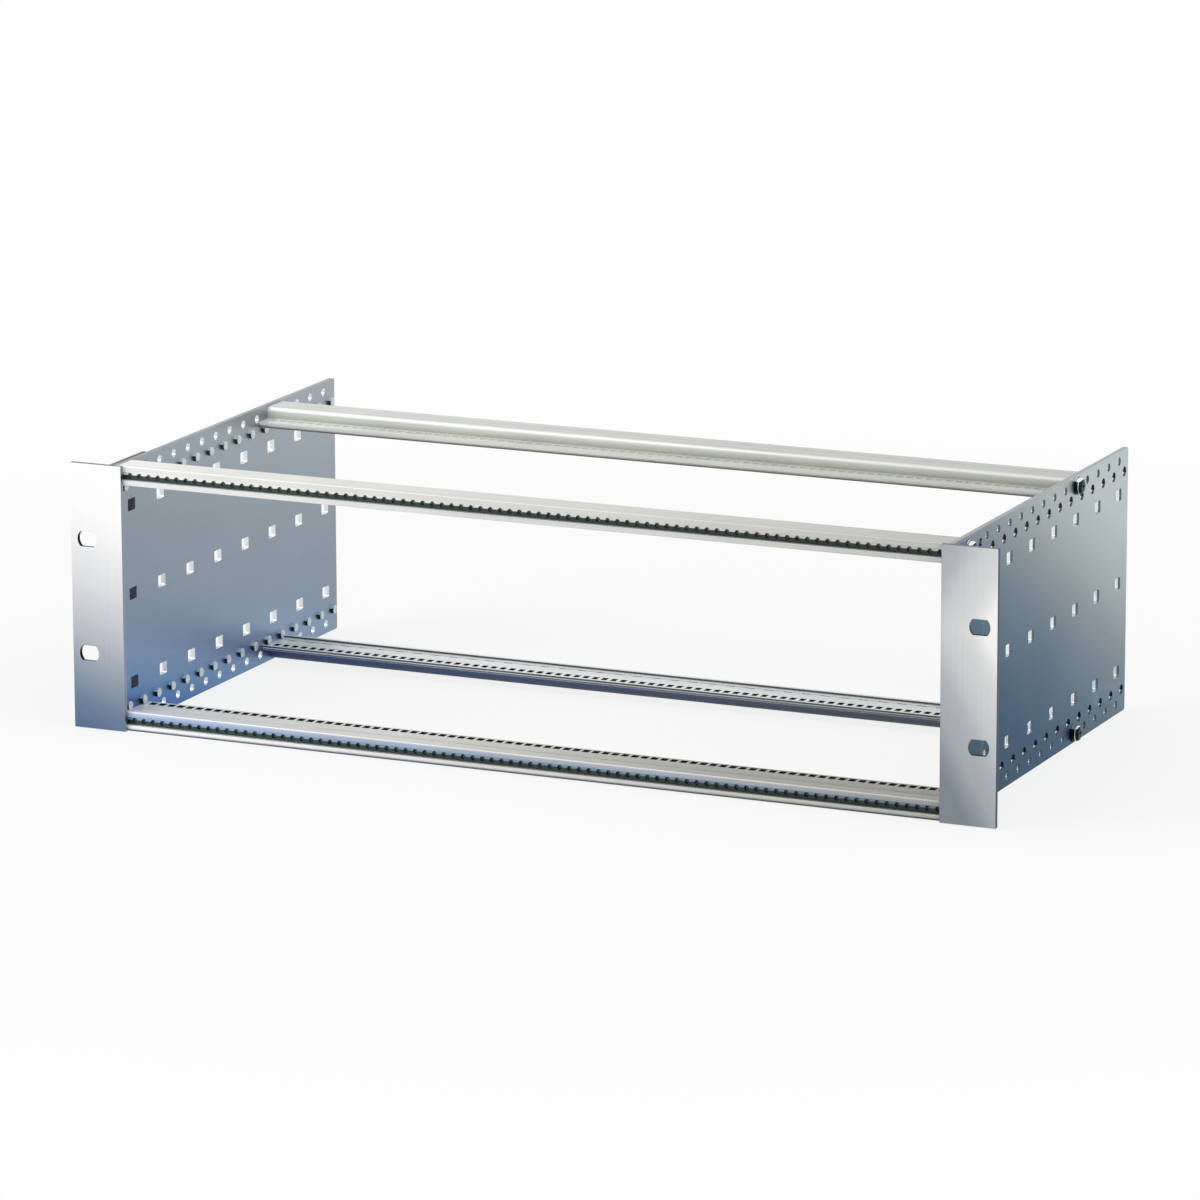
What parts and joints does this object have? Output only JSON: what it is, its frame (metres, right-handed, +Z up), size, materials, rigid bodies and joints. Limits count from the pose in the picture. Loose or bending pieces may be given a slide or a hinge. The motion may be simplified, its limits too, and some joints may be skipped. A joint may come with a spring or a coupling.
{
  "type": "rack enclosure",
  "caption": "Open subrack frame for a 19 inch rack, with punched side panels, slotted extruded rails and bolted rack flanges.",
  "frame": {"origin": "centre of the underside of the whole frame", "axes": "+X to the right seen from the front, +Y from the front flanges to the back, +Z up"},
  "size_m": [0.4826, 0.238, 0.1326],
  "materials": {
    "panel_metal": "passivated sheet, satin",
    "flange_metal": "finely brushed, clear anodised",
    "rail_metal": "extruded, clear anodised",
    "strip_steel": "zinc plated",
    "screw_steel": "zinc plated"
  },
  "bodies": {
    "root": {"left_side_panel": "panel_metal", "right_side_panel": "panel_metal", "left_flange": "flange_metal", "right_flange": "flange_metal", "front_bottom_rail": "rail_metal", "front_top_rail": "rail_metal", "rear_bottom_rail": "rail_metal", "rear_top_rail": "rail_metal", "front_bottom_threaded_strip": "strip_steel", "front_top_threaded_strip": "strip_steel", "front_bottom_left_screw": "screw_steel", "front_bottom_left_washer": "screw_steel", "front_bottom_right_screw": "screw_steel", "front_bottom_right_washer": "screw_steel", "front_top_left_screw": "screw_steel", "front_top_left_washer": "screw_steel", "front_top_right_screw": "screw_steel", "front_top_right_washer": "screw_steel", "rear_bottom_left_screw": "screw_steel", "rear_bottom_left_washer": "screw_steel", "rear_bottom_right_screw": "screw_steel", "rear_bottom_right_washer": "screw_steel", "rear_top_left_screw": "screw_steel", "rear_top_left_washer": "screw_steel", "rear_top_right_screw": "screw_steel", "rear_top_right_washer": "screw_steel"}
  },
  "joints": []
}
